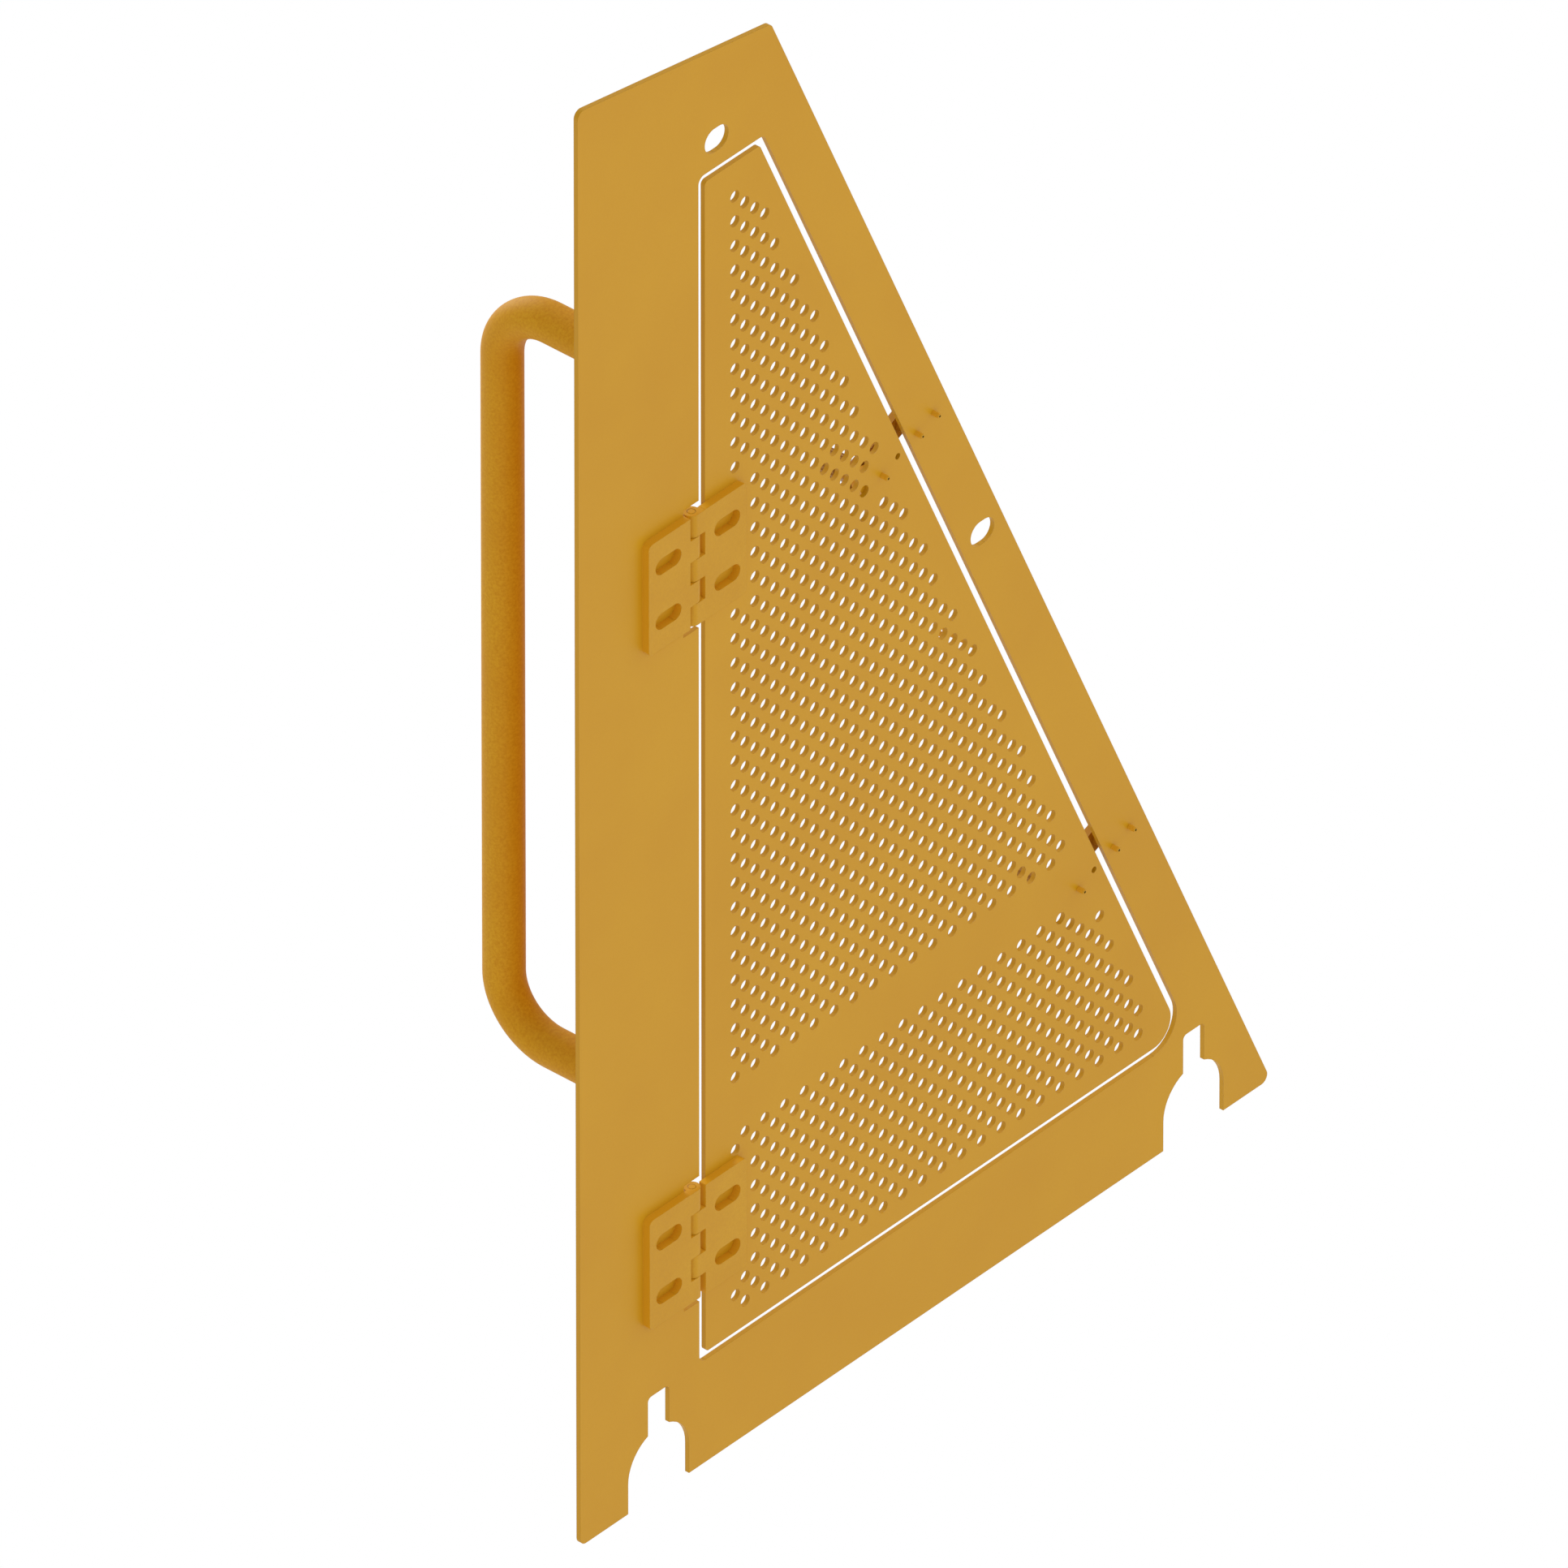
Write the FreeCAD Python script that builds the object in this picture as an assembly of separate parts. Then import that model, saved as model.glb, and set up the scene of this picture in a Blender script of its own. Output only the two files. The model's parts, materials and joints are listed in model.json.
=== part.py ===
import FreeCAD, Part
import math
import os

# Side panel of a machine guard: a flat sheet frame with a hinged, perforated inspection door.
# x runs along the panel, the front looks to -y, z is up. The origin is the middle of the bottom
# edge, half way through the sheet. Lengths are in millimetres, angles in degrees.

V = FreeCAD.Vector

# Sheet frame
sheet = 3.0                 # thickness of the frame sheet and of the door sheet
bottom_width = 600.0
top_width = 165.0
left_height = 1001.8
top_drop = 27.0             # the top edge falls this much from left to right
outer_corner = 5.0

# Door opening, and the door inside it
strip_width = 102.8         # plain strip at the left, from the edge to the opening
rim_width = 35.7            # rim beside the sloping edge, measured square to it
sill_height = 72.4
head_height = 100.5         # from the top left corner down to the opening
door_gap = 5.3
opening_corner = 5.0
door_corner = 3.0
door_toe_corner = 15.0      # the sharp corner at the lower right; the opening's is larger by the gap

# Keyhole notches in the bottom edge
notch_inset = 67.5          # from each lower corner to the notch's axis
notch_width = 52.5
notch_wall = 21.0           # straight walls below the dome
notch_slot_width = 18.2
notch_height = 72.2
notch_slot_corner = 3.0

# Fixing slots, level stadiums
slot_length = 20.3
slot_height = 16.2
head_slot_right = 15.6      # from the opening's left edge
head_slot_up = 19.0         # from the opening's top edge
rim_slot_inset = 17.5       # from the sloping edge, square to it
rim_slot_below = 97.0       # below the upper catch

# Perforation
hole_diameter = 7.5
hole_step = 8.54            # half the spacing along a row; rows are this far apart too
first_column = 25.8         # from the door's left edge
first_row = 17.4            # from the door's bottom edge
hole_margin_right = 15.1
hole_margin_top = 20.0
band_half = 17.0            # plain band level with the lower catch

# Hinges: leaves on the front of the sheet, pin axis in the sheet's front plane
hinge_pin_inset = 6.4       # from the opening's left edge, to the left
upper_hinge_down = 265.6    # from the opening's top edge to the hinge's middle
lower_hinge_up = 90.3       # from the opening's bottom edge
hinge_height = 77.0
leaf_reach = 42.0           # from the pin axis to a leaf's outer edge
leaf_thick = 5.0
leaf_corner = 3.5
leaf_inner_corner = 0.3     # nearly sharp, beside the barrel
barrel_clearance = 1.3      # between a knuckle and the other leaf
knuckles = 5
knuckle_play = 0.15         # trimmed off each end of a knuckle
pin_diameter = 5.0
pin_clearance = 0.15        # radial, in the door's knuckles
pin_chamfer = 0.4
leaf_slot_length = 22.0
leaf_slot_height = 11.0
leaf_slot_out = 25.2        # from the pin axis
leaf_slot_spacing = 38.0
relief_clearance = 1.8      # between the barrel and the cut-back sheet
relief_over = 3.8
relief_under = 7.7
leaf_hole_margin = 8.0      # no perforation this near a leaf's edge

# Countersunk screws from the back into the leaves
leaf_screw_diameter = 5.0
leaf_screw_head = 9.4
leaf_screw_head_depth = 2.6
leaf_screw_bite = 3.8       # length held in the leaf
leaf_screw_spacing = 30.5
leaf_screws = 3             # in each leaf
leaf_screw_socket = 3.0     # across flats
leaf_screw_socket_depth = 2.0

# Grab handle, a bent tube welded to the back of the strip
handle_diameter = 25.0
handle_wall = 2.0
handle_span = 506.0
handle_middle_height = 545.5
handle_reach = 99.2         # from the sheet's back to the grip's axis
handle_bend = 37.5
handle_weld = 4.5

# Magnetic catches: a bar on spacers behind the rim, with an adjustable pot magnet
upper_catch_down = 280.5    # from the opening's top edge to the catch's axis, along z
lower_catch_up = 165.2      # from the opening's bottom edge
bar_width = 15.3
bar_thick = 5.0
bar_corner = 2.0
bar_standoff = 9.6
bar_over_rim = 32.0         # from the opening's edge over the rim
near_screw = 6.8            # from the opening's edge
far_screw = 22.6
catch_screw_diameter = 3.0
catch_screw_head = 5.5
catch_screw_head_height = 3.0
catch_screw_socket = 2.5
catch_screw_proud = 5.0     # how far the tips stand out in front
screw_tip_length = 0.375    # cone at the tip of the catch and strike screws, at 45 degrees
spacer_diameter = 7.0
magnet_back = 27.7          # from the door's edge to the magnet's axis
cup_diameter = 16.0
cup_height = 4.5
cup_wall = 2.0
magnet_depth = 3.2
stud_diameter = 8.0
collar_diameter = 11.0
nut_flats = 13.0
nut_thick = 5.0
knob_diameter = 16.0
knob_length = 14.0
knob_standoff = 1.5         # from the lock nut; the knob's closed end is as thick
knob_grooves = 16
groove_diameter = 1.4
magnet_gap = 0.3            # between the cup and the strike plate

# Strike plates on the back of the door
strike_length = 34.5
strike_width = 16.0
strike_thick = 2.5
strike_corner = 2.0
strike_inset = 1.5          # from the door's edge
strike_screw_back = 20.5    # from the door's edge
spare_hole_back = 5.7
spare_hole_diameter = 4.0
strike_screw_head = 5.6
strike_screw_proud = 5.0
strike_screw_socket = 1.8
strike_screw_socket_depth = 1.0
hole_free_zone = 35.0       # no perforation this near the door's edge at a catch
hole_free_above = 15.0      # up the edge from a catch's axis
hole_free_below = {"upper": 18.0, "lower": 26.5}

# Pull eye welded to the back of the door
eye_below = 176.7           # below the upper catch
eye_inset = 11.9            # from the door's sloping edge
eye_rod = 3.2
eye_rod_length = 22.2
eye_ring_radius = 3.6
eye_stem_turn = 45.0        # turns about their own axes that keep the two surfaces' seams apart
eye_ring_turn = 37.0

cutter_over = 1.0           # how far a cutter runs past the face that it goes through

front = -sheet / 2
back = sheet / 2
left = -bottom_width / 2
right_height = left_height - top_drop
lean = math.atan2(bottom_width - top_width, right_height)
opening_left = left + strip_width
opening_bottom = sill_height
opening_top = left_height - head_height
door_left = opening_left + door_gap
door_bottom = opening_bottom + door_gap
door_top = opening_top - door_gap
door_inset = rim_width + door_gap
pin_x = opening_left - hinge_pin_inset
barrel_radius = leaf_thick
hinge_heights = {"upper": opening_top - upper_hinge_down, "lower": opening_bottom + lower_hinge_up}
catch_heights = {"upper": opening_top - upper_catch_down, "lower": opening_bottom + lower_catch_up}
bar_front = back + bar_standoff
bar_back = bar_front + bar_thick
magnet_x = -door_gap - magnet_back                 # in a catch's own axes, see at_catch
strike_screw_x = -door_gap - strike_screw_back
cup_face = back + strike_thick + magnet_gap
knob_start = bar_back + nut_thick + knob_standoff
across = V(math.cos(lean), 0, math.sin(lean))      # square to the sloping edge, outwards
along = V(-math.sin(lean), 0, math.cos(lean))      # up the sloping edge


def sloping_x(inset, z):
    """x at height z of the line inset from the sloping edge."""
    return -left - inset / math.cos(lean) - z * math.tan(lean)


def rounded_wire(corners, y):
    """Closed wire through corners (x, z, radius), each turned by a tangent arc."""
    turns = []
    for i, (x, z, radius) in enumerate(corners):
        here = V(x, y, z)
        before = V(corners[i - 1][0], y, corners[i - 1][1])
        after = V(corners[(i + 1) % len(corners)][0], y, corners[(i + 1) % len(corners)][1])
        inward = (before - here).normalize()
        outward = (after - here).normalize()
        half = inward.getAngle(outward) / 2
        reach = radius / math.tan(half)
        crown = (inward + outward).normalize() * (radius / math.sin(half) - radius)
        turns.append((here + inward * reach, here + crown, here + outward * reach))
    edges = []
    for i, (start, crown, end) in enumerate(turns):
        edges.append(Part.Arc(start, crown, end).toShape())
        edges.append(Part.LineSegment(end, turns[(i + 1) % len(turns)][0]).toShape())
    return Part.Wire(edges)


def stadium_wire(x, z, length, height, y):
    """Closed wire of a level slot with round ends, centred at x, z."""
    radius = height / 2
    half = length / 2 - radius
    up = V(0, 0, radius)
    right = V(x + half, y, z)
    far = V(x - half, y, z)
    return Part.Wire([
        Part.Arc(right - up, right + V(radius, 0, 0), right + up).toShape(),
        Part.LineSegment(right + up, far + up).toShape(),
        Part.Arc(far + up, far - V(radius, 0, 0), far - up).toShape(),
        Part.LineSegment(far - up, right - up).toShape(),
    ])


def circle_wire(x, z, diameter, y):
    return Part.Wire([Part.Circle(V(x, y, z), V(0, 1, 0), diameter / 2).toShape()])


def flat_piece(wires, depth):
    """Solid of the first wire with the others as holes, taken back along y."""
    return Part.makeFace(wires, "Part::FaceMakerBullseye").extrude(V(0, depth, 0))


def rod(x, y0, z, diameter, length):
    """Round bar along +y."""
    return Part.makeCylinder(diameter / 2, length, V(x, y0, z), V(0, 1, 0))


def through_sheet(x, diameter):
    """Cutter for a round hole through a sheet, on a catch's axis."""
    return rod(x, front - cutter_over, 0, diameter, sheet + 2 * cutter_over)


def block(x0, x1, y0, y1, z0, z1):
    return Part.makeBox(x1 - x0, y1 - y0, z1 - z0, V(x0, y0, z0))


def hexagon(x, y0, z, flats, length):
    corners = [V(x + flats / math.sqrt(3) * math.cos(math.radians(60 * i)), y0,
                 z + flats / math.sqrt(3) * math.sin(math.radians(60 * i))) for i in range(7)]
    return Part.Face(Part.makePolygon(corners)).extrude(V(0, length, 0))


def at_catch(shape, name):
    """Turn a shape drawn with +x square to the sloping edge, and move it to a catch.

    Its x = 0 is the edge of the opening, its z = 0 the catch's axis."""
    height = catch_heights[name]
    placed = shape.copy()
    placed.rotate(V(0, 0, 0), V(0, 1, 0), -math.degrees(lean))
    placed.translate(V(sloping_x(rim_width, height), 0, height))
    return placed


def leaf_screw_places(side):
    """Centres (x, z) of the leaf screws, side -1 on the frame and +1 on the door."""
    offset = (leaf_screws - 1) / 2
    return [(pin_x + side * leaf_slot_out, height + (i - offset) * leaf_screw_spacing)
            for height in hinge_heights.values() for i in range(leaf_screws)]


def leaf_screw(x, z):
    """Countersunk screw with its head flush in the back of the sheet."""
    shank = rod(x, front - leaf_screw_bite, z, leaf_screw_diameter, sheet + leaf_screw_bite)
    head = Part.makeCone(leaf_screw_diameter / 2, leaf_screw_head / 2, leaf_screw_head_depth,
                         V(x, back - leaf_screw_head_depth, z), V(0, 1, 0))
    return shank.fuse(head)


def driven(screw, x, head_face, z, flats, depth):
    """Cut a hexagon socket into a screw whose head's face is at y = head_face."""
    return screw.cut(hexagon(x, head_face - depth, z, flats, depth))


def notch_tool(x):
    """Cutter for one keyhole notch: a wide mouth, a dome and a narrow slot."""
    deep = front - cutter_over
    reach = sheet + 2 * cutter_over
    mouth = block(x - notch_width / 2, x + notch_width / 2, deep, deep + reach,
                  -cutter_over, notch_wall)
    dome = rod(x, deep, notch_wall, notch_width, reach)
    half = notch_slot_width / 2
    slot = rounded_wire([(x - half, notch_wall, 1), (x + half, notch_wall, 1),
                         (x + half, notch_height, notch_slot_corner),
                         (x - half, notch_height, notch_slot_corner)], deep)
    return mouth.fuse([dome, flat_piece([slot], reach)])


def frame_plate():
    outline = rounded_wire([
        (left, 0, outer_corner),
        (-left, 0, outer_corner),
        (left + top_width, right_height, outer_corner),
        (left, left_height, outer_corner)], front)
    opening = rounded_wire([
        (opening_left, opening_bottom, opening_corner),
        (sloping_x(rim_width, opening_bottom), opening_bottom, door_toe_corner + door_gap),
        (sloping_x(rim_width, opening_top), opening_top, opening_corner),
        (opening_left, opening_top, opening_corner)], front)
    rim_slot_z = catch_heights["upper"] - rim_slot_below
    slots = [
        stadium_wire(opening_left + head_slot_right, opening_top + head_slot_up,
                     slot_length, slot_height, front),
        stadium_wire(sloping_x(rim_slot_inset, rim_slot_z), rim_slot_z,
                     slot_length, slot_height, front)]
    plate = flat_piece([outline, opening] + slots, sheet)
    tools = [notch_tool(left + notch_inset), notch_tool(-left - notch_inset)]
    for height in hinge_heights.values():
        tools.append(block(pin_x - barrel_radius - relief_clearance, opening_left + cutter_over,
                           front - cutter_over, back + cutter_over,
                           height - hinge_height / 2 - relief_under,
                           height + hinge_height / 2 + relief_over))
    tools += [leaf_screw(x, z) for x, z in leaf_screw_places(-1)]
    for name in catch_heights:
        for x in (near_screw, far_screw):
            tools.append(at_catch(through_sheet(x, catch_screw_diameter), name))
    return plate.cut(tools)


def perforation():
    """Centres (x, z) of the door's holes: rows a step apart, every second column in each."""
    places = []
    z = door_bottom + first_row
    row = 0
    while z < door_top - hole_margin_top:
        x = door_left + first_column + (hole_step if row % 2 == 0 else 0)
        while x < sloping_x(door_inset + hole_margin_right, z):
            if not plain_place(x, z):
                places.append((x, z))
            x += 2 * hole_step
        z += hole_step
        row += 1
    return places


def plain_place(x, z):
    """True where the door stays plain: the band, the hinge leaves and the strike plates."""
    if abs(z - catch_heights["lower"]) < band_half:
        return True
    for height in hinge_heights.values():
        beside = x < pin_x + leaf_reach + leaf_hole_margin
        level = -hinge_height / 2 - relief_under < z - height < hinge_height / 2 + relief_over
        if beside and level:
            return True
    for name, height in catch_heights.items():
        from_edge = V(x - sloping_x(door_inset, height), 0, z - height)
        near = from_edge.dot(across) > -hole_free_zone
        if near and -hole_free_below[name] < from_edge.dot(along) < hole_free_above:
            return True
    return False


def door_panel():
    outline = rounded_wire([
        (door_left, door_bottom, door_corner),
        (sloping_x(door_inset, door_bottom), door_bottom, door_toe_corner),
        (sloping_x(door_inset, door_top), door_top, door_corner),
        (door_left, door_top, door_corner)], front)
    holes = [circle_wire(x, z, hole_diameter, front) for x, z in perforation()]
    panel = flat_piece([outline] + holes, sheet)
    tools = [leaf_screw(x, z) for x, z in leaf_screw_places(1)]
    for name in catch_heights:
        tools.append(at_catch(through_sheet(strike_screw_x, catch_screw_diameter), name))
        tools.append(at_catch(through_sheet(-door_gap - spare_hole_back, spare_hole_diameter), name))
    return panel.cut(tools)


def knuckle_spans(name, owner):
    """Height ranges of the knuckles that a leaf owns. The lower hinge is turned over."""
    pitch = hinge_height / knuckles
    first = 0 if (owner == "door") == (name == "upper") else 1
    base = hinge_heights[name] - hinge_height / 2
    return [(base + i * pitch, base + (i + 1) * pitch) for i in range(first, knuckles, 2)]


def hinge_leaf(name, owner):
    side = 1 if owner == "door" else -1
    height = hinge_heights[name]
    z0 = height - hinge_height / 2
    z1 = height + hinge_height / 2
    inner = pin_x + side * (barrel_radius + barrel_clearance)
    outer = pin_x + side * leaf_reach
    outline = rounded_wire([
        (inner, z0, leaf_inner_corner), (outer, z0, leaf_corner),
        (outer, z1, leaf_corner), (inner, z1, leaf_inner_corner)], front - leaf_thick)
    slots = [stadium_wire(pin_x + side * leaf_slot_out, height + up * leaf_slot_spacing / 2,
                          leaf_slot_length, leaf_slot_height, front - leaf_thick)
             for up in (-1, 1)]
    leaf = flat_piece([outline] + slots, leaf_thick)
    bore = pin_diameter / 2 + (pin_clearance if owner == "door" else 0)
    webs = []
    for low, high in knuckle_spans(name, owner):
        low += knuckle_play
        high -= knuckle_play
        webs.append(block(min(pin_x, inner + side), max(pin_x, inner + side),
                          front - leaf_thick, front, low, high))
        webs.append(Part.makeCylinder(barrel_radius, high - low, V(pin_x, front, low)))
    leaf = leaf.fuse(webs).removeSplitter()
    leaf = leaf.cut(Part.makeCylinder(bore, hinge_height + 2 * cutter_over,
                                      V(pin_x, front, z0 - cutter_over)))
    screws = [leaf_screw(x, z) for x, z in leaf_screw_places(side) if z0 < z < z1]
    return leaf.cut(screws)


def hinge_pin(name):
    """Plain pin with a small chamfer at both ends, flush with the barrel."""
    z0 = hinge_heights[name] - hinge_height / 2
    pin = Part.makeCylinder(pin_diameter / 2, hinge_height, V(pin_x, front, z0))
    ends = [edge for edge in pin.Edges if len(edge.Vertexes) == 1]
    return pin.makeChamfer(pin_chamfer, ends)


def leaf_screw_group(side):
    return [driven(leaf_screw(x, z), x, back, z, leaf_screw_socket, leaf_screw_socket_depth)
            for x, z in leaf_screw_places(side)]


def handle_path():
    """Centre line of the handle, from the sheet's back out, along the grip and back."""
    x = left + strip_width / 2
    low = handle_middle_height - handle_span / 2
    high = handle_middle_height + handle_span / 2
    grip_y = back + handle_reach
    bend = handle_bend
    crown = bend * (1 - math.sqrt(0.5))
    points = [V(x, back, low), V(x, grip_y - bend, low), V(x, grip_y - crown, low + crown),
              V(x, grip_y, low + bend), V(x, grip_y, high - bend),
              V(x, grip_y - crown, high - crown), V(x, grip_y - bend, high), V(x, back, high)]
    return Part.Wire([
        Part.LineSegment(points[0], points[1]).toShape(),
        Part.Arc(points[1], points[2], points[3]).toShape(),
        Part.LineSegment(points[3], points[4]).toShape(),
        Part.Arc(points[4], points[5], points[6]).toShape(),
        Part.LineSegment(points[6], points[7]).toShape()])


def handle_tube():
    path = handle_path()
    start = path.OrderedVertexes[0].Point
    solids = []
    for radius in (handle_diameter / 2, handle_diameter / 2 - handle_wall):
        ring = Part.Wire([Part.Circle(start, V(0, 1, 0), radius).toShape()])
        solids.append(path.makePipeShell([ring], True, False))
    return solids[0].cut(solids[1])


def handle_weld_ring(side):
    """Fillet weld round one foot of the handle, a ring of triangular section."""
    x = left + strip_width / 2
    z = handle_middle_height + side * handle_span / 2
    inner = x + handle_diameter / 2
    section = Part.Face(Part.makePolygon([
        V(inner, back, z), V(inner + handle_weld, back, z),
        V(inner, back + handle_weld, z), V(inner, back, z)]))
    return section.revolve(V(x, back, z), V(0, 1, 0), 360)


def edges_along_y(solid):
    return [edge for edge in solid.Edges if abs(edge.tangentAt(0).y) > 0.9]


def catch_bar():
    bar = block(magnet_x - cup_diameter / 2, bar_over_rim, bar_front, bar_back,
                -bar_width / 2, bar_width / 2)
    bar = bar.makeFillet(bar_corner, edges_along_y(bar))
    reach = bar_thick + 2 * cutter_over
    holes = [rod(magnet_x, bar_front - cutter_over, 0, stud_diameter, reach)]
    holes += [rod(x, bar_front - cutter_over, 0, catch_screw_diameter, reach)
              for x in (near_screw, far_screw)]
    return bar.cut(holes)


def catch_spacer(x):
    return rod(x, back, 0, spacer_diameter, bar_standoff).cut(
        rod(x, back, 0, catch_screw_diameter, bar_standoff))


def tipped_shank(x, end, proud):
    """M3 shank ending at y = end, its coned tip standing proud of the front of the sheet."""
    tip = screw_tip_length
    length = end - front + proud - tip
    shank = rod(x, end - length, 0, catch_screw_diameter, length)
    point = Part.makeCone(catch_screw_diameter / 2 - tip, catch_screw_diameter / 2, tip,
                          V(x, end - length - tip, 0), V(0, 1, 0))
    return shank.fuse(point)


def catch_screw(x):
    """Cap screw from the back: bar, spacer and sheet, with its tip standing out in front."""
    head = rod(x, bar_back, 0, catch_screw_head, catch_screw_head_height)
    screw = tipped_shank(x, bar_back, catch_screw_proud).fuse(head)
    face = bar_back + catch_screw_head_height
    return driven(screw, x, face, 0, catch_screw_socket, catch_screw_head_height / 2)


def magnet_cup():
    """Steel cup with a collar against the bar and a threaded stud through it."""
    stud_end = knob_start + knob_length - knob_standoff
    cup = rod(magnet_x, cup_face, 0, cup_diameter, cup_height)
    collar = rod(magnet_x, cup_face + cup_height, 0, collar_diameter,
                 bar_front - cup_face - cup_height)
    stud = rod(magnet_x, bar_front, 0, stud_diameter, stud_end - bar_front)
    return cup.fuse([collar, stud]).cut(magnet_disc())


def magnet_disc():
    return rod(magnet_x, cup_face, 0, cup_diameter - 2 * cup_wall, magnet_depth)


def lock_nut():
    nut = hexagon(magnet_x, bar_back, 0, nut_flats, nut_thick)
    return nut.cut(rod(magnet_x, bar_back, 0, stud_diameter, nut_thick))


def adjusting_knob():
    """Grooved round knob, screwed on the stud's end."""
    radius = knob_diameter / 2
    knob = rod(magnet_x, knob_start, 0, knob_diameter, knob_length)
    tools = [rod(magnet_x, knob_start, 0, stud_diameter, knob_length - knob_standoff)]
    for i in range(knob_grooves):
        turn = 2 * math.pi * i / knob_grooves
        tools.append(rod(magnet_x + radius * math.cos(turn), knob_start - cutter_over,
                         radius * math.sin(turn), groove_diameter, knob_length + 2 * cutter_over))
    return knob.cut(tools)


def strike_plate():
    plate = block(-door_gap - strike_inset - strike_length, -door_gap - strike_inset,
                  back, back + strike_thick, -strike_width / 2, strike_width / 2)
    return plate.makeFillet(strike_corner, edges_along_y(plate)).cut(solid_strike_screw())


def solid_strike_screw():
    """Countersunk screw from the back of the strike plate, its tip out in front of the door."""
    end = back + strike_thick
    head_depth = (strike_screw_head - catch_screw_diameter) / 2
    head = Part.makeCone(catch_screw_diameter / 2, strike_screw_head / 2, head_depth,
                         V(strike_screw_x, end - head_depth, 0), V(0, 1, 0))
    return tipped_shank(strike_screw_x, end, strike_screw_proud).fuse(head)


def strike_screw():
    return driven(solid_strike_screw(), strike_screw_x, back + strike_thick, 0,
                  strike_screw_socket, strike_screw_socket_depth)


def pull_eye():
    """Thin rod with a ring at its end, the ring in an upright plane square to the door."""
    z = catch_heights["upper"] - eye_below
    x = sloping_x(door_inset + eye_inset, z)
    ring_y = back + eye_rod_length + eye_ring_radius
    stem = rod(x, back, z, eye_rod, eye_rod_length + eye_rod / 4)
    ring = Part.makeTorus(eye_ring_radius, eye_rod / 2, V(x, ring_y, z), V(1, 0, 0))
    stem.rotate(V(x, back, z), V(0, 1, 0), eye_stem_turn)
    ring.rotate(V(x, ring_y, z), V(1, 0, 0), eye_ring_turn)
    return stem.fuse(ring)


nodes = {
    "frame_plate": frame_plate(),
    "door_panel": door_panel(),
    "handle_tube": handle_tube(),
    "handle_weld_upper": handle_weld_ring(1),
    "handle_weld_lower": handle_weld_ring(-1),
    "hinge_frame_screws": Part.makeCompound(leaf_screw_group(-1)),
    "hinge_door_screws": Part.makeCompound(leaf_screw_group(1)),
    "pull_eye": pull_eye(),
}
for name in ("upper", "lower"):
    nodes["hinge_frame_leaf_" + name] = hinge_leaf(name, "frame")
    nodes["hinge_door_leaf_" + name] = hinge_leaf(name, "door")
    nodes["hinge_pin_" + name] = hinge_pin(name)
    nodes["catch_bar_" + name] = at_catch(catch_bar(), name)
    nodes["magnet_cup_" + name] = at_catch(magnet_cup(), name)
    nodes["magnet_" + name] = at_catch(magnet_disc(), name)
    nodes["magnet_lock_nut_" + name] = at_catch(lock_nut(), name)
    nodes["magnet_knob_" + name] = at_catch(adjusting_knob(), name)
    nodes["strike_plate_" + name] = at_catch(strike_plate(), name)
    nodes["strike_screw_" + name] = at_catch(strike_screw(), name)
    screws = [at_catch(catch_screw(x), name) for x in (near_screw, far_screw)]
    nodes["catch_screws_" + name] = Part.makeCompound(screws)
    spacers = [at_catch(catch_spacer(x), name) for x in (near_screw, far_screw)]
    nodes["catch_spacers_" + name] = Part.makeCompound(spacers)

os.makedirs("parts", exist_ok=True)
for name, shape in nodes.items():
    shape.exportStep("parts/" + name + ".step")
    box = shape.BoundBox
    print("%-26s %2d solid %10.1f mm3  x %7.1f..%7.1f  y %6.1f..%6.1f  z %6.1f..%6.1f valid %s" % (
        name, len(shape.Solids), shape.Volume, box.XMin, box.XMax, box.YMin, box.YMax,
        box.ZMin, box.ZMax, shape.isValid()))
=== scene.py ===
import bpy
import json
import math
import numpy as np
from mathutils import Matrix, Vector


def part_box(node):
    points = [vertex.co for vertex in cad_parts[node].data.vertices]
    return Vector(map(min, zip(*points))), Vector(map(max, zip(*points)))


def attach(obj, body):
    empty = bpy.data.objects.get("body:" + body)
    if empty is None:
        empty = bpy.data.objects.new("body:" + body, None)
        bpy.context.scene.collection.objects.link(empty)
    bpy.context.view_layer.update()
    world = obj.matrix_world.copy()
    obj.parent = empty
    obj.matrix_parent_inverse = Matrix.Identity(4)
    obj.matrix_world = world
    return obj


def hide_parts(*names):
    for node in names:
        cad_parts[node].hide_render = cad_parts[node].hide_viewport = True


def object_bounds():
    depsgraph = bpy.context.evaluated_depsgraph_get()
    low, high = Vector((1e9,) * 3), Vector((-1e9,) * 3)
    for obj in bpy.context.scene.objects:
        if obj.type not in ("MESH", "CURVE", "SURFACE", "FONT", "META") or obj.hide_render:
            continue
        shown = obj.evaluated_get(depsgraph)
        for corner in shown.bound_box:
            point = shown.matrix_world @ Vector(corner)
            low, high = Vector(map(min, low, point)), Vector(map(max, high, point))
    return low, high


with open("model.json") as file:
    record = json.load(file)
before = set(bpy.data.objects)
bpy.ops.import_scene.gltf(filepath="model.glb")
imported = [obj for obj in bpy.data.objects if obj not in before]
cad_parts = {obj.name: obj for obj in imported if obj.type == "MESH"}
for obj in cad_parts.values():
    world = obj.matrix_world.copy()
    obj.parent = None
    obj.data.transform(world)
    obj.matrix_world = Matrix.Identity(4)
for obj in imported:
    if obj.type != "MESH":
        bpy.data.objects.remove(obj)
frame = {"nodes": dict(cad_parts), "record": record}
nodes = frame["nodes"]
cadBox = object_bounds()
print("frame loaded:", len(nodes), "nodes")

mm = 0.001
levels = ("upper", "lower")


def toLinear(hexCode):
    # sRGB hex to linear light
    parts = [int(hexCode[i:i + 2], 16) / 255 for i in (1, 3, 5)]
    return tuple([c / 12.92 if c < 0.04045 else ((c + 0.055) / 1.055) ** 2.4 for c in parts] + [1.0])


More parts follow.
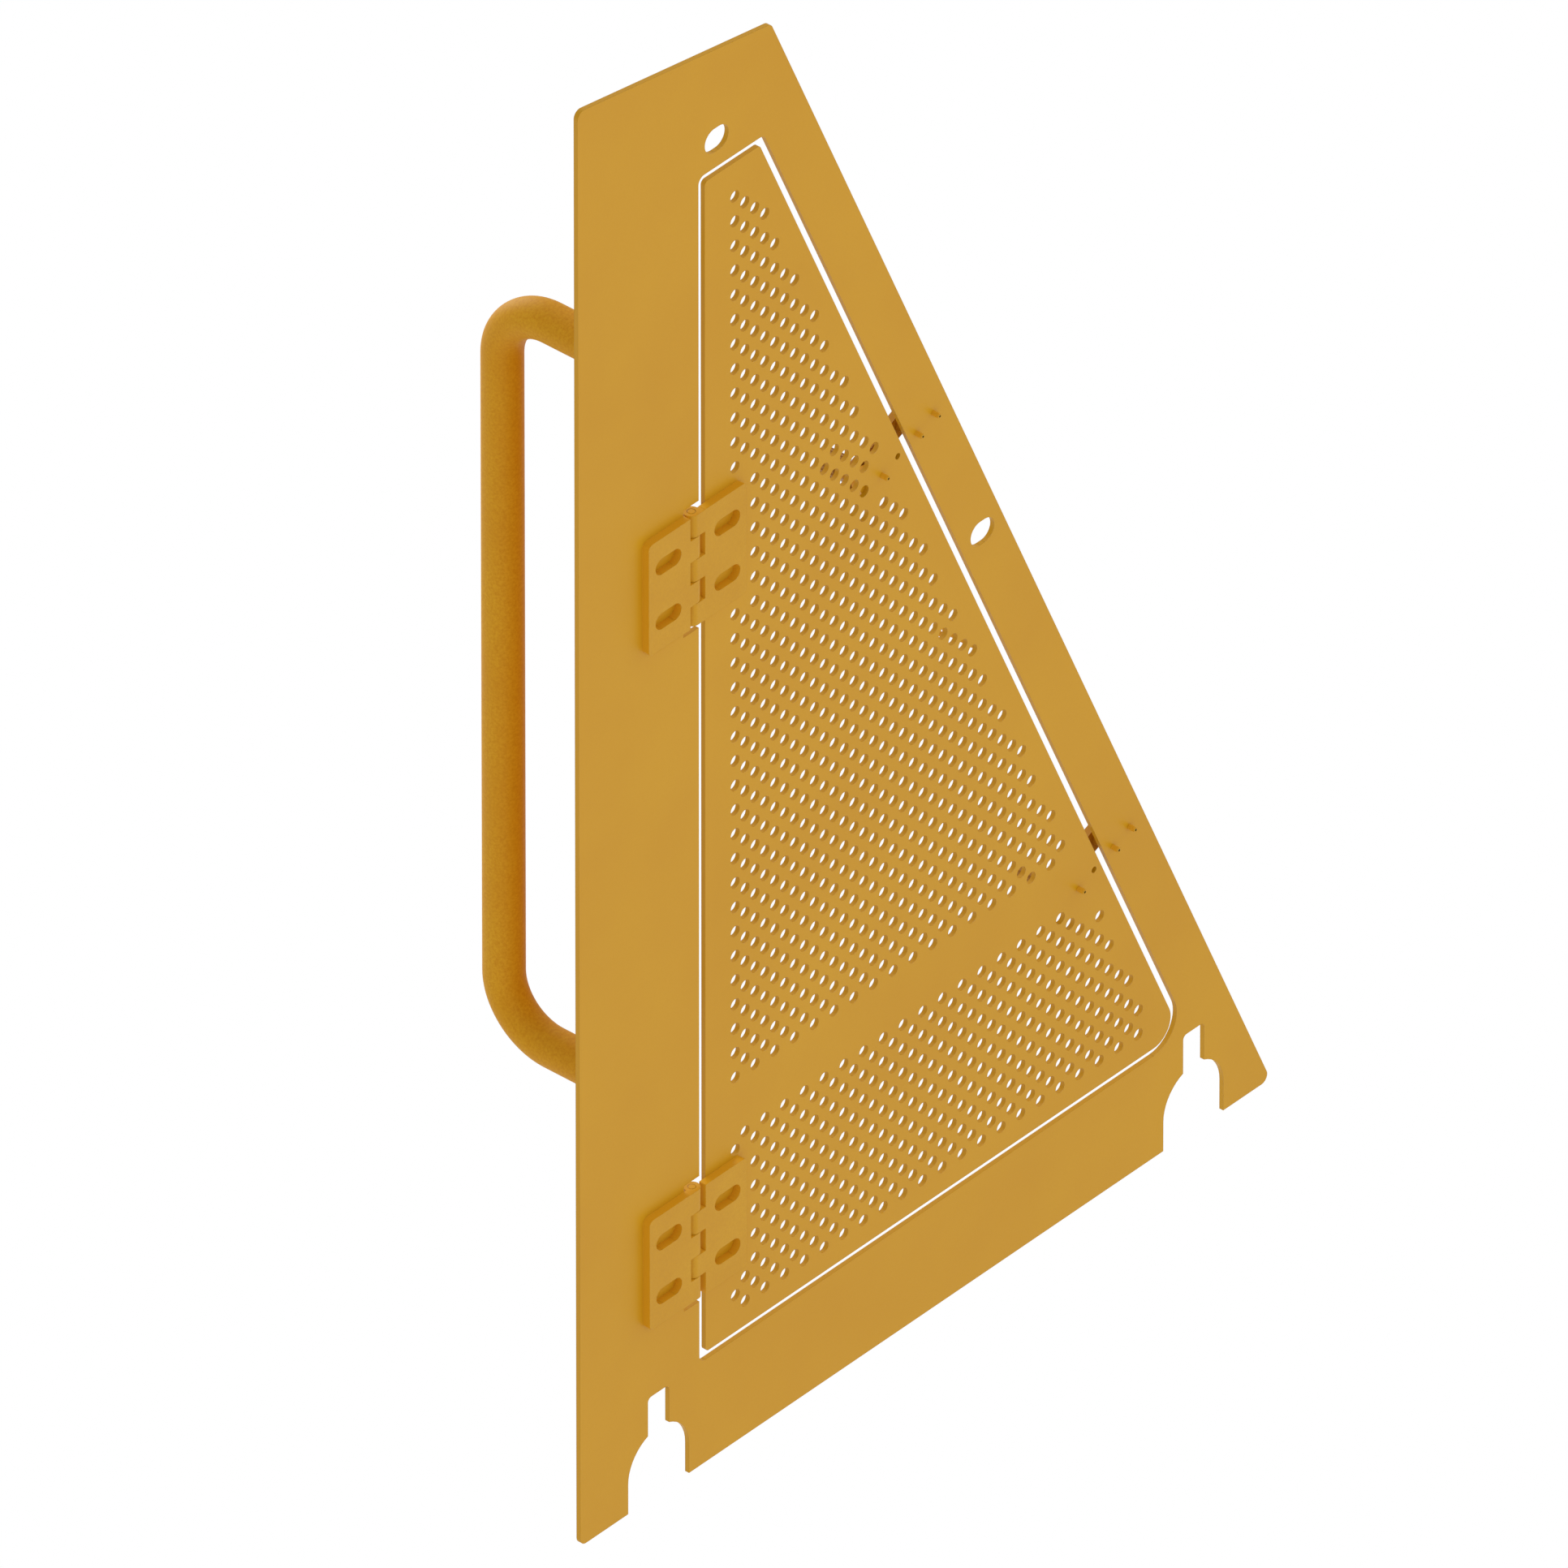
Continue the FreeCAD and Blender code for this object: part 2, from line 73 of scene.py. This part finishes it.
def perMm(size):
    # texture scale that repeats every `size` millimetres on coordinates in metres
    return 1.0 / (size * mm)


def add(tree, kind, settings=None, links=None, **attributes):
    # one node with its attributes, its sockets' values, and the outputs that feed its sockets
    node = tree.nodes.new(kind)
    for key, value in attributes.items():
        setattr(node, key, value)
    for key, value in (settings or {}).items():
        node.inputs[key].default_value = value
    for key, source in (links or {}).items():
        tree.links.new(source, node.inputs[key])
    return node


def newMaterial(name):
    material = bpy.data.materials.new(name)
    material.use_nodes = True
    material.node_tree.nodes.clear()
    return material, material.node_tree


# Polyester powder coat in ochre yellow, sprayed and baked: a closed satin film with a soft, rolling orange
# peel, round on every edge, with its own painted tone of light and shade on every face turned sideways.
powderCoat = {
    "light": "#C6921A",
    "mid": "#C28C0C",
    "deep": "#B68010",
    "edge": "#C08C14",      # painted light and shade on cut edges, hole walls and other sideways faces
    "edgeShare": 0.6,
    "speckle": 0.16,        # how far the grain's valleys go towards deep
    "cloudMm": 140.0,       # slow drift of the film's thickness
    "peelMm": 2.6,          # real peel is about 1 mm, drawn coarser so that it shows
    "grainMm": 0.9,         # fine speckle inside the peel
    "peelHeight": 0.018,
    "grainHeight": 0.006,
    "edgeRadius": 0.45,     # the film's own rounding of a cut edge, in mm
    "roughness": (0.40, 0.52),
    "coat": 0.05,
    "coatRoughness": 0.22,
    "specular": 0.18,
}


def makePowderCoat(name, look):
    material, tree = newMaterial(name)
    where = add(tree, "ShaderNodeTexCoord").outputs["Object"]
    cloud = add(tree, "ShaderNodeTexNoise", {"Scale": perMm(look["cloudMm"]), "Detail": 3.0,
                                             "Roughness": 0.55}, {"Vector": where})
    peel = add(tree, "ShaderNodeTexNoise", {"Scale": perMm(look["peelMm"]), "Detail": 1.0,
                                            "Roughness": 0.4}, {"Vector": where})
    grain = add(tree, "ShaderNodeTexNoise", {"Scale": perMm(look["grainMm"]), "Detail": 2.0,
                                             "Roughness": 0.6}, {"Vector": where})
    tone = add(tree, "ShaderNodeValToRGB", links={"Fac": cloud.outputs["Fac"]})
    for stop, place, shade in zip(tone.color_ramp.elements, (0.36, 0.64), ("mid", "light")):
        stop.position = place
        stop.color = toLinear(look[shade])
    # peel valleys hold a little more pigment
    speckle = add(tree, "ShaderNodeMapRange", {"From Min": 0.35, "From Max": 0.75, "To Min": 0.0,
                                               "To Max": look["speckle"]}, {"Value": grain.outputs["Fac"]})
    mixed = add(tree, "ShaderNodeMix", {7: toLinear(look["deep"])},
                {0: speckle.outputs["Result"], 6: tone.outputs["Color"]}, data_type="RGBA")
    # painted light and shade on sheet edges and hole walls, whose normals lie in the sheet's plane
    facing = add(tree, "ShaderNodeSeparateXYZ",
                 links={"Vector": add(tree, "ShaderNodeNewGeometry").outputs["True Normal"]})
    sideways = add(tree, "ShaderNodeMath", {1: 0.5},
                   {0: add(tree, "ShaderNodeMath", links={0: facing.outputs["Y"]},
                           operation="ABSOLUTE").outputs[0]}, operation="LESS_THAN")
    edgeShare = add(tree, "ShaderNodeMath", {1: look["edgeShare"]},
                    {0: sideways.outputs[0]}, operation="MULTIPLY")
    withPaintedSideShade = add(tree, "ShaderNodeMix", {7: toLinear(look["edge"])},
                 {0: edgeShare.outputs[0], 6: mixed.outputs[2]}, data_type="RGBA")
    rounded = add(tree, "ShaderNodeBevel", {"Radius": look["edgeRadius"] * mm}, samples=4)
    fine = add(tree, "ShaderNodeBump", {"Strength": 0.5, "Distance": look["grainHeight"] * mm},
               {"Height": grain.outputs["Fac"], "Normal": rounded.outputs["Normal"]})
    rolling = add(tree, "ShaderNodeBump", {"Strength": 0.8, "Distance": look["peelHeight"] * mm},
                  {"Height": peel.outputs["Fac"], "Normal": fine.outputs["Normal"]})
    sheen = add(tree, "ShaderNodeMapRange", {"From Min": 0.3, "From Max": 0.7,
                                             "To Min": look["roughness"][0],
                                             "To Max": look["roughness"][1]},
                {"Value": cloud.outputs["Fac"]})
    shader = add(tree, "ShaderNodeBsdfPrincipled",
                 {"Specular IOR Level": look["specular"], "Coat Weight": look["coat"],
                  "Coat Roughness": look["coatRoughness"]},
                 {"Base Color": withPaintedSideShade.outputs[2], "Roughness": sheen.outputs["Result"],
                  "Normal": rolling.outputs["Normal"]})
    add(tree, "ShaderNodeOutputMaterial", links={"Surface": shader.outputs["BSDF"]})
    return material


def makeMetal(name, look):
    material, tree = newMaterial(name)
    where = add(tree, "ShaderNodeTexCoord").outputs["Object"]
    mottle = add(tree, "ShaderNodeTexNoise", {"Scale": perMm(look["mottleMm"]), "Detail": 4.0,
                                              "Roughness": 0.6}, {"Vector": where})
    tone = add(tree, "ShaderNodeValToRGB", links={"Fac": mottle.outputs["Fac"]})
    for stop, place, shade in zip(tone.color_ramp.elements, (0.35, 0.65), ("dark", "light")):
        stop.position = place
        stop.color = toLinear(look[shade])
    # cutting marks: rings round the turning axis, which lies along y on this object
    marks = add(tree, "ShaderNodeTexWave", {"Scale": perMm(look["markMm"]) / 20, "Distortion": 0.6,
                                            "Detail": 1.0}, {"Vector": where},
                wave_type="BANDS", bands_direction="Y")
    rounded = add(tree, "ShaderNodeBevel", {"Radius": look["edgeRadius"] * mm}, samples=4)
    bump = add(tree, "ShaderNodeBump", {"Strength": look["markStrength"], "Distance": 0.01 * mm},
               {"Height": marks.outputs["Fac"], "Normal": rounded.outputs["Normal"]})
    sheen = add(tree, "ShaderNodeMapRange", {"To Min": look["roughness"][0],
                                             "To Max": look["roughness"][1]},
                {"Value": mottle.outputs["Fac"]})
    shader = add(tree, "ShaderNodeBsdfPrincipled", {"Metallic": 1.0},
                 {"Base Color": tone.outputs["Color"], "Roughness": sheen.outputs["Result"],
                  "Normal": bump.outputs["Normal"]})
    add(tree, "ShaderNodeOutputMaterial", links={"Surface": shader.outputs["BSDF"]})
    return material


def makeMoulded(name, look):
    material, tree = newMaterial(name)
    where = add(tree, "ShaderNodeTexCoord").outputs["Object"]
    grit = add(tree, "ShaderNodeTexNoise", {"Scale": perMm(look["gritMm"]), "Detail": 3.0},
               {"Vector": where})
    tone = add(tree, "ShaderNodeValToRGB", links={"Fac": grit.outputs["Fac"]})
    tone.color_ramp.elements[0].color = toLinear(look["dark"])
    tone.color_ramp.elements[1].color = toLinear(look["light"])
    rounded = add(tree, "ShaderNodeBevel", {"Radius": look["edgeRadius"] * mm}, samples=4)
    bump = add(tree, "ShaderNodeBump", {"Strength": 0.6, "Distance": look["gritHeight"] * mm},
               {"Height": grit.outputs["Fac"], "Normal": rounded.outputs["Normal"]})
    shader = add(tree, "ShaderNodeBsdfPrincipled", {"Roughness": look["roughness"],
                                                    "Specular IOR Level": look["specular"]},
                 {"Base Color": tone.outputs["Color"], "Normal": bump.outputs["Normal"]})
    add(tree, "ShaderNodeOutputMaterial", links={"Surface": shader.outputs["BSDF"]})
    return material


sheetCoat = makePowderCoat("ochrePowderCoatOnSheet", powderCoat)
# the same film on bent tube: a finely speckled satin, a shade warmer than on the sheet
tubeCoat = makePowderCoat("ochrePowderCoatOnTube", dict(
    powderCoat, roughness=(0.50, 0.60), coat=0.0, specular=0.1, edgeShare=0.0,
    light="#D09A1E", mid="#CC9218", deep="#BE7E0C", speckle=0.8, cloudMm=60.0, grainMm=1.6,
    grainHeight=0.04))
# machined hinge leaves: sharper edges, and painted light, brighter and warmer, on faces turned sideways
# against the shade of the gaps
leafCoat = makePowderCoat("ochrePowderCoatOnLeaf", dict(
    powderCoat, edge="#DCA01E", edgeShare=0.8, speckle=0.4, edgeRadius=0.3, cloudMm=40.0,
    grainMm=1.2, grainHeight=0.03, roughness=(0.40, 0.50)))
# over a weld bead: thick, wet looking, follows the ripples
weldCoat = makePowderCoat("ochrePowderCoatOnWeld", dict(
    powderCoat, roughness=(0.30, 0.38), coat=0.2, edgeShare=0.0, cloudMm=12.0, edgeRadius=0.2))
# flat bar behind the gap: same coat, darkened all over as painted shade for the rim's shadow, its sideways
# faces painted lighter
paintedShadeBarCoat = makePowderCoat("ochrePowderCoatThin", dict(
    powderCoat, light="#B07A18", mid="#A46E12", deep="#8A5A0C", edge="#C08A20"))
# electroplated zinc, clear passivated: bluish grey with cloudy crystals
zincPlate = makeMetal("zincPlate", {
    "dark": "#8E918F", "light": "#B9BBB6", "mottleMm": 1.8, "markMm": 0.6, "markStrength": 0.3,
    "roughness": (0.30, 0.46), "edgeRadius": 0.15})
# pressed ferrite: nearly black, matt, fine sintered grain
ferrite = makeMoulded("sinteredFerrite", {
    "dark": "#17181A", "light": "#2B2C2E", "gritMm": 0.5, "gritHeight": 0.03, "edgeRadius": 0.2,
    "roughness": 0.62, "specular": 0.4})
# glass filled nylon knob in the panel's shade: a spark eroded mould gives an even matt grain
nylon = makeMoulded("mouldedOchreNylon", {
    "dark": "#9A6A14", "light": "#AE7A1C", "gritMm": 0.6, "gritHeight": 0.02, "edgeRadius": 0.3,
    "roughness": 0.5, "specular": 0.45})

finishes = {
    "frame_plate": sheetCoat, "door_panel": sheetCoat, "handle_tube": tubeCoat,
    "handle_weld": weldCoat, "hinge_frame_leaf": leafCoat, "hinge_door_leaf": leafCoat,
    "hinge_pin": leafCoat, "hinge_frame_screws": zincPlate, "hinge_door_screws": zincPlate,
    "catch_bar": paintedShadeBarCoat, "catch_spacers": paintedShadeBarCoat, "catch_screws": leafCoat,
    "magnet_cup": leafCoat, "magnet_lock_nut": zincPlate, "magnet_knob": nylon,
    "strike_plate": leafCoat, "strike_screw": leafCoat, "pull_eye": leafCoat,
}
for name, piece in nodes.items():
    stem = name.replace("_upper", "").replace("_lower", "")
    material = ferrite if stem == "magnet" else finishes[stem]
    for place in piece.material_slots:
        place.material = material
print("finishes:", len(bpy.data.materials))


def gridPiece(name, points, body, material, wrapAlong=False):
    # points[i, j] is a grid: j goes round the closed section, i goes along the piece.
    # a piece whose length doesn't close on itself is closed at both ends, each to a pole
    along, around = points.shape[:2]
    vertices = points.reshape(-1, 3)
    i, j = np.meshgrid(np.arange(along if wrapAlong else along - 1), np.arange(around),
                       indexing="ij")
    nextI, nextJ = (i + 1) % along, (j + 1) % around
    quads = np.stack([i * around + j, nextI * around + j, nextI * around + nextJ,
                      i * around + nextJ], axis=-1).reshape(-1, 4).tolist()
    if not wrapAlong:
        poles = np.stack([points[0].mean(axis=0), points[-1].mean(axis=0)])
        first = len(vertices)
        vertices = np.vstack([vertices, poles])
        ring = np.arange(around)
        start = np.stack([np.full(around, first), ring, (ring + 1) % around], axis=-1)
        last = (along - 1) * around
        end = np.stack([np.full(around, first + 1), last + (ring + 1) % around, last + ring], axis=-1)
        quads += start.tolist() + end.tolist()
    mesh = bpy.data.meshes.new(name)
    mesh.from_pydata(vertices.tolist(), [], quads)
    mesh.validate()
    piece = bpy.data.objects.new(name, mesh)
    bpy.context.collection.objects.link(piece)
    mesh.materials.append(material)
    bpy.context.view_layer.objects.active = piece
    piece.select_set(True)
    bpy.ops.object.mode_set(mode="EDIT")
    bpy.ops.mesh.select_all(action="SELECT")
    bpy.ops.mesh.normals_make_consistent(inside=False)
    bpy.ops.object.mode_set(mode="OBJECT")
    piece.select_set(False)
    mesh.shade_smooth()
    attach(piece, body)
    return piece


def bodyOf(node):
    # the body that a CAD node belongs to, so that what covers it moves with it
    return next(b for b, names in frame["record"]["behaviour"]["bodies"].items() if node in names)


handle = {
    "bend": 37.5,           # centre line radius
    "around": 72,
    "bendSteps": 28,
    "outSteps": 12,         # along each straight between the sheet and a bend
    "gripSteps": 40,
    "ovality": 0.025,       # the draw bend flattens the section a little
}


def makeHandle(look):
    # centre line: out from the sheet, quarter turn, along the grip, quarter turn, back.
    # section: circle of the tube's radius, squeezed in the bend's plane by sin squared of the turn
    low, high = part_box("handle_tube")
    radius = (high[0] - low[0]) / 2
    bend = look["bend"] * mm
    x = (high[0] + low[0]) / 2
    bottom, top, grip = low[2] + radius, high[2] - radius, high[1] - radius
    turn = np.linspace(0, math.pi / 2, look["bendSteps"])
    straightOut = np.linspace(low[1], grip - bend, look["outSteps"])[:-1]
    climb = np.linspace(bottom + bend, top - bend, look["gripSteps"])[1:-1]
    zero, one = np.zeros_like, np.ones_like
    y = np.concatenate([straightOut, grip - bend + bend * np.sin(turn), grip * one(climb),
                        grip - bend + bend * np.cos(turn), straightOut[::-1]])
    z = np.concatenate([bottom * one(straightOut), bottom + bend - bend * np.cos(turn), climb,
                        top - bend + bend * np.sin(turn), top * one(straightOut)])
    heading = np.concatenate([zero(straightOut), turn, math.pi / 2 * one(climb),
                              math.pi / 2 + turn, math.pi * one(straightOut)])
    squeeze = 1 - look["ovality"] * np.sin(2 * heading) ** 2
    angle = np.linspace(0, 2 * math.pi, look["around"], endpoint=False)
    inPlane = radius * squeeze[:, None] * np.cos(angle)[None, :]
    points = np.stack([
        x + radius * np.sin(angle)[None, :] * one(heading)[:, None],
        y[:, None] - np.sin(heading)[:, None] * inPlane,
        z[:, None] + np.cos(heading)[:, None] * inPlane], axis=-1)
    piece = gridPiece("grabHandle", points, bodyOf("handle_tube"), tubeCoat)
    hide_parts("handle_tube")


weldBead = {
    "ripple": 2.6,          # spacing of the ripples round the foot
    "rippleDepth": 0.07,
    "lean": 0.55,           # ripples are crescents, dragged back at the toes
    "around": 420,
    "across": 18,
    "wobble": 0.05,         # three slow waves round the foot
    "fullness": 0.8,        # under 1 swells the section past a quarter circle
    "rootIn": 0.4,          # the bead's root lies this far inside the tube's wall
    "rootRise": 0.9,        # and climbs this share of the leg
}


def makeWeld(level, look):
    # section: a convex quarter round from the sheet up to the tube, closed inside the tube wall.
    # its leg swells and dips as |sin| of the distance round, and wanders slowly
    node = "handle_weld_" + level
    low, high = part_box(node)
    x, z, y = (low[0] + high[0]) / 2, (low[2] + high[2]) / 2, low[1]
    leg = high[1] - low[1]
    inner = (high[0] - low[0]) / 2 - leg
    circuit = np.linspace(0, 2 * math.pi, look["around"], endpoint=False)[:, None]
    across = np.linspace(0, 1, look["across"])[None, :]
    count = round(2 * math.pi * (inner + leg / 2) / (look["ripple"] * mm))
    crescent = look["lean"] * (2 * across - 1) ** 2
    ripple = np.abs(np.sin(count * circuit / 2 + crescent)) ** 0.6
    swell = 1 - look["rippleDepth"] * (1 - ripple) + look["wobble"] * np.sin(3 * circuit + 1) * 0.5
    reach = leg * swell
    out = inner + reach * np.cos(across * math.pi / 2) ** look["fullness"]
    up = y + reach * np.sin(across * math.pi / 2) ** look["fullness"]
    column = np.ones_like(circuit)
    root = column * (inner - look["rootIn"] * mm)
    out = np.concatenate([out, root, root], axis=1)
    up = np.concatenate([up, column * (y + leg * look["rootRise"]), column * y], axis=1)
    points = np.stack([x + out * np.cos(circuit), up, z + out * np.sin(circuit)], axis=-1)
    piece = gridPiece("weldBead_" + level, points, bodyOf(node), weldCoat, wrapAlong=True)
    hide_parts(node)


makeHandle(handle)
for level in levels:
    makeWeld(level, weldBead)
print("handle and welds")


thread = {
    "pitch": 0.9,           # M3 has 0.5, too fine to show
    "depth": 0.16,
    "skin": 0.2,            # outside the plain shank
    "around": 28,
    "perPitch": 9,
    "round": 0.9,           # length of the domed end
    "domeDepth": 0.82,      # 1 would close the dome to a point
    "sunk": 0.4,            # starts this far inside the sheet
    "reach": 1.0,           # points further out than this belong to a tip
}


def makeTips(node, count, look):
    # radius = shank + skin - depth * triangle wave(length / pitch - angle / turn), closed by a dome.
    # the axis and shank of each tip come from the CAD screw's own points in front of the sheet
    mesh = nodes[node].data
    corners = np.empty(len(mesh.vertices) * 3)
    mesh.vertices.foreach_get("co", corners)
    world = np.array(nodes[node].matrix_world)
    corners = corners.reshape(-1, 3) @ world[:3, :3].T + world[:3, 3]
    tipY = corners[:, 1].min()
    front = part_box("frame_plate")[0][1]
    tips = corners[corners[:, 1] < front - look["reach"] * mm]
    between = (tips[:, 0].min() + tips[:, 0].max()) / 2
    groups = [tips]
    if count == 2:
        groups = [tips[tips[:, 0] < between], tips[tips[:, 0] >= between]]
    for number, group in enumerate(groups):
        x = (group[:, 0].min() + group[:, 0].max()) / 2
        z = (group[:, 2].min() + group[:, 2].max()) / 2
        shank = (group[:, 0].max() - group[:, 0].min()) / 2 + look["skin"] * mm
        length = front - tipY
        steps = int(length / (look["pitch"] * mm) * look["perPitch"])
        s = np.linspace(-look["sunk"] * mm, length, steps)[:, None]
        angle = np.linspace(0, 2 * math.pi, look["around"], endpoint=False)[None, :]
        turns = s / (look["pitch"] * mm) - angle / (2 * math.pi)
        wave = np.abs(2 * (turns - np.floor(turns + 0.5)))
        dome = np.clip((length - s) / (look["round"] * mm), 0, 1)
        narrowing = np.sqrt(1 - (1 - dome) ** 2 * look["domeDepth"])
        radius = (shank - look["depth"] * mm * wave) * narrowing
        points = np.stack([x + radius * np.cos(angle), front - s + 0 * angle,
                           z + radius * np.sin(angle)], axis=-1)
        piece = gridPiece("screwTip_%s_%d" % (node, number), points, bodyOf(node), leafCoat)


for level in levels:
    makeTips("catch_screws_" + level, 2, thread)
    makeTips("strike_screw_" + level, 1, thread)
print("screw tips")


studio = {
    "lens": 1700.0,         # so long that the view is all but parallel
    "sensor": 36.0,
    "frameWidth": 0.8895,   # metres across at the aim
    "azimuth": -48.81,
    "elevation": 35.95,
    "aim": (-0.12404, -0.0015, 0.44036),
    "ambient": 0.68,
    "tableHalf": 6.0,
    "tableBelow": 2.0,      # mm under the panel's bottom edge
}
# azimuth and elevation in degrees, distance and size in metres, power in watts
lamps = {
    "key": {"azimuth": -20, "elevation": 24, "away": 3.2, "size": 2.4, "power": 22.0},
    "fill": {"azimuth": 75, "elevation": 30, "away": 3.4, "size": 2.6, "power": 15.0},
    "behind": {"azimuth": 165, "elevation": 20, "away": 3.4, "size": 2.6, "power": 66.0},
}


def towards(azimuth, elevation):
    # unit vector from the aim to a place at these angles, azimuth 0 in front of the panel
    a, e = math.radians(azimuth), math.radians(elevation)
    return Vector((math.sin(a) * math.cos(e), -math.cos(a) * math.cos(e), math.sin(e)))


def standAt(thing, out, distance):
    # stand off from the aim and look back at it
    thing.location = Vector(studio["aim"]) + out * distance
    thing.rotation_mode = "QUATERNION"
    thing.rotation_quaternion = (-out).to_track_quat("-Z", "Y")
    bpy.context.collection.objects.link(thing)


def makeCamera(look):
    camera = bpy.data.objects.new("camera", bpy.data.cameras.new("camera"))
    camera.data.lens = look["lens"]
    camera.data.sensor_width = look["sensor"]
    distance = look["frameWidth"] * look["lens"] / look["sensor"]
    camera.data.clip_end = distance * 3
    standAt(camera, towards(look["azimuth"], look["elevation"]), distance)
    bpy.context.scene.camera = camera


def makeWorld(look):
    # white where the camera looks past the panel, softer where it lights the panel
    world = bpy.data.worlds.new("paleStudio")
    world.use_nodes = True
    tree = world.node_tree
    tree.nodes.clear()
    path = add(tree, "ShaderNodeLightPath")
    soft = add(tree, "ShaderNodeBackground", {"Color": (1, 1, 1, 1), "Strength": look["ambient"]})
    seen = add(tree, "ShaderNodeBackground", {"Color": (1, 1, 1, 1), "Strength": 1.0})
    either = add(tree, "ShaderNodeMixShader", links={0: path.outputs["Is Camera Ray"],
                                                     1: soft.outputs[0], 2: seen.outputs[0]})
    add(tree, "ShaderNodeOutputWorld", links={"Surface": either.outputs[0]})
    bpy.context.scene.world = world


def makeTable(look):
    # light table: a white floor lit from inside, which keeps no shadow and is clear from below
    mesh = bpy.data.meshes.new("lightTable")
    half = look["tableHalf"]
    height = cadBox[0][2] - look["tableBelow"] * mm
    mesh.from_pydata([(-half, -half, height), (half, -half, height), (half, half, height),
                      (-half, half, height)], [], [(0, 1, 2, 3)])
    floor = bpy.data.objects.new("lightTable", mesh)
    bpy.context.collection.objects.link(floor)
    material, tree = newMaterial("opalGlassTable")
    glow = add(tree, "ShaderNodeEmission", {"Color": (1, 1, 1, 1), "Strength": 1.0})
    clear = add(tree, "ShaderNodeBsdfTransparent")
    under = add(tree, "ShaderNodeNewGeometry")
    both = add(tree, "ShaderNodeMixShader", links={0: under.outputs["Backfacing"],
                                                   1: glow.outputs[0], 2: clear.outputs[0]})
    add(tree, "ShaderNodeOutputMaterial", links={"Surface": both.outputs[0]})
    mesh.materials.append(material)


def makeLamp(name, look):
    lamp = bpy.data.lights.new(name, "AREA")
    lamp.shape = "DISK"
    lamp.size = look["size"]
    lamp.energy = look["power"]
    standAt(bpy.data.objects.new(name, lamp), towards(look["azimuth"], look["elevation"]),
            look["away"])


bpy.context.scene.view_settings.view_transform = "Standard"
bpy.context.scene.view_settings.look = "None"
makeCamera(studio)
makeWorld(studio)
makeTable(studio)
for name, look in lamps.items():
    makeLamp(name, look)
print("studio")
